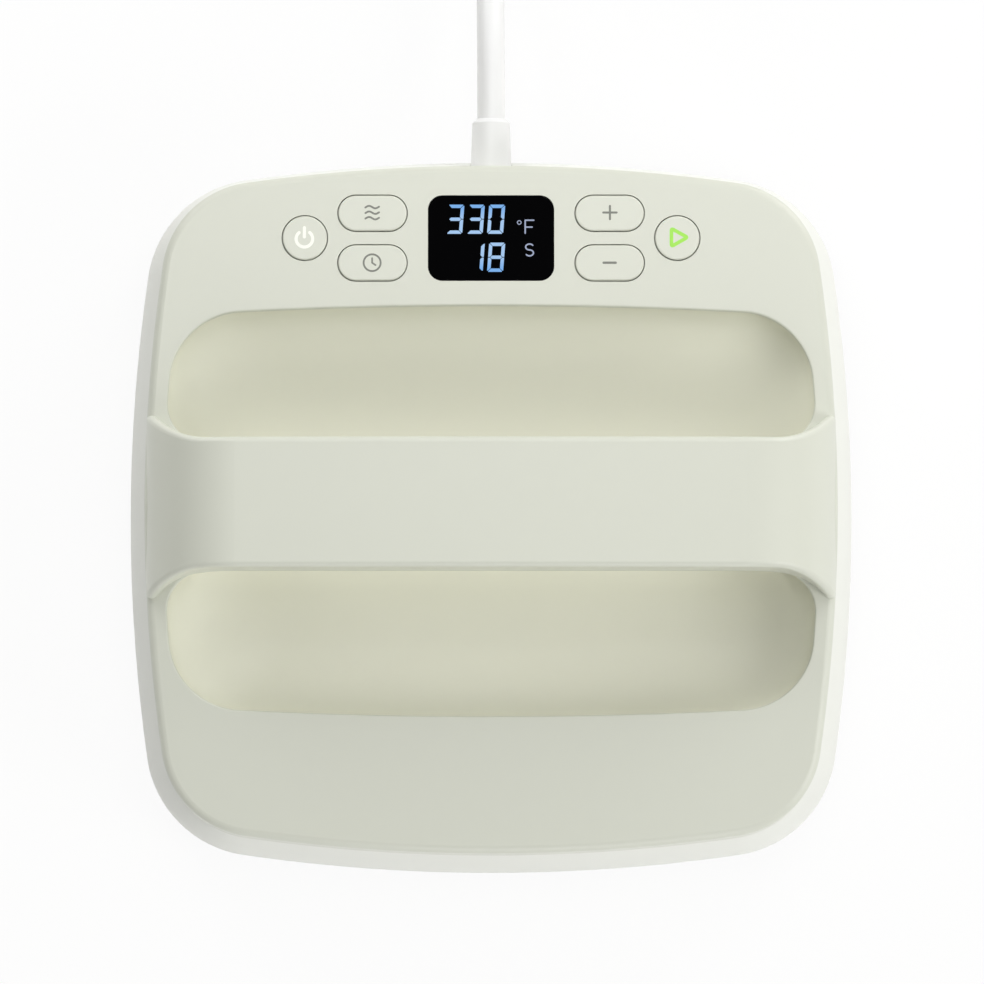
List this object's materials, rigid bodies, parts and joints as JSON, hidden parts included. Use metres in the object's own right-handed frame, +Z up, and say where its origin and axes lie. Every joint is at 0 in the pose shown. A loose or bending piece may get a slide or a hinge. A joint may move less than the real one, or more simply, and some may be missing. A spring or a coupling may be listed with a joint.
{
  "type": "handheld heat press",
  "caption": "Handheld heat press: a rounded square heated plate under a housing with a scooped finger well, an arched handle, flush control keys, a small display and a plug-in lead.",
  "frame": {"origin": "middle of the plate's working face, which lies on the table", "axes": "+Z up; +Y to the back, where the lead leaves; +X to the right as the user reads the display"},
  "size_m": [0.2388, 0.4558, 0.089],
  "materials": {
    "sage_plastic": "fine satin moulding",
    "sage_well_plastic": "fine satin moulding",
    "white_plastic": "satin moulding",
    "key_plastic": "satin moulding",
    "lens_plastic": "polished black",
    "plate_aluminium": "dark non-stick coating",
    "bare_aluminium": "bare metal",
    "heater_steel": "drawn tube",
    "sheet_steel": "zinc plated sheet",
    "screw_steel": "zinc plated",
    "fibre_blanket": "ceramic fibre",
    "spacer_ceramic": "unglazed",
    "circuit_board": "solder mask",
    "black_plastic": "moulded",
    "relay_plastic": "moulded",
    "transformer_wrap": "taped winding",
    "wire_insulation": "sleeved",
    "ribbon_plastic": "flat cable",
    "cord_jacket": "smooth white jacket",
    "blade_brass": "plated",
    "tie_fabric": "woven hook and loop"
  },
  "bodies": {
    "press": {"heat_plate": "plate_aluminium", "heating_element": "heater_steel", "insulation_blanket": "fibre_blanket", "heat_shield": "sheet_steel", "plate_spacers": "spacer_ceramic", "plate_screws": "screw_steel", "shield_screws": "screw_steel", "temperature_sensor": "bare_aluminium", "thermal_cutout": "black_plastic", "sensor_screws": "screw_steel", "base_housing": "white_plastic", "top_shell": "sage_plastic", "shell_screws": "screw_steel", "finger_well": "sage_well_plastic", "well_screws": "screw_steel", "handle_underside": "sage_well_plastic", "handle_screws": "screw_steel", "display_window": "lens_plastic", "display_module": "black_plastic", "control_board": "circuit_board", "key_switches": "black_plastic", "buzzer": "black_plastic", "board_screws": "screw_steel", "power_board": "circuit_board", "power_relay": "relay_plastic", "board_transformer": "transformer_wrap", "board_capacitor": "bare_aluminium", "power_board_screws": "screw_steel", "heater_leads": "wire_insulation", "sensor_lead": "wire_insulation", "mains_leads": "wire_insulation", "earth_lead": "wire_insulation", "board_ribbon": "ribbon_plastic", "cord_clamp": "black_plastic", "clamp_screws": "screw_steel", "strain_relief": "cord_jacket", "inner_cord": "cord_jacket", "power_cord": "cord_jacket", "cord_coil": "cord_jacket", "cord_tie": "tie_fabric", "cord_tail": "cord_jacket", "plug_body": "cord_jacket", "plug_blades": "blade_brass"},
    "power_key": {"power_button": "key_plastic"},
    "start_key": {"start_button": "key_plastic"},
    "temperature_key": {"temperature_button": "key_plastic"},
    "timer_key": {"timer_button": "key_plastic"},
    "plus_key": {"plus_button": "key_plastic"},
    "minus_key": {"minus_button": "key_plastic"}
  },
  "joints": [
    {"name": "power_press", "type": "slide", "parent": "press", "child": "power_key", "axis": [0, -0.0698, -0.9976], "range_m": [0, 0.0008], "stiffness_N_per_m": 400, "springref_m": -0.0005},
    {"name": "start_press", "type": "slide", "parent": "press", "child": "start_key", "axis": [0, -0.0698, -0.9976], "range_m": [0, 0.0008], "stiffness_N_per_m": 400, "springref_m": -0.0005},
    {"name": "temperature_press", "type": "slide", "parent": "press", "child": "temperature_key", "axis": [0, -0.0698, -0.9976], "range_m": [0, 0.0008], "stiffness_N_per_m": 400, "springref_m": -0.0005},
    {"name": "timer_press", "type": "slide", "parent": "press", "child": "timer_key", "axis": [0, -0.0698, -0.9976], "range_m": [0, 0.0008], "stiffness_N_per_m": 400, "springref_m": -0.0005},
    {"name": "plus_press", "type": "slide", "parent": "press", "child": "plus_key", "axis": [0, -0.0698, -0.9976], "range_m": [0, 0.0008], "stiffness_N_per_m": 400, "springref_m": -0.0005},
    {"name": "minus_press", "type": "slide", "parent": "press", "child": "minus_key", "axis": [0, -0.0698, -0.9976], "range_m": [0, 0.0008], "stiffness_N_per_m": 400, "springref_m": -0.0005}
  ]
}
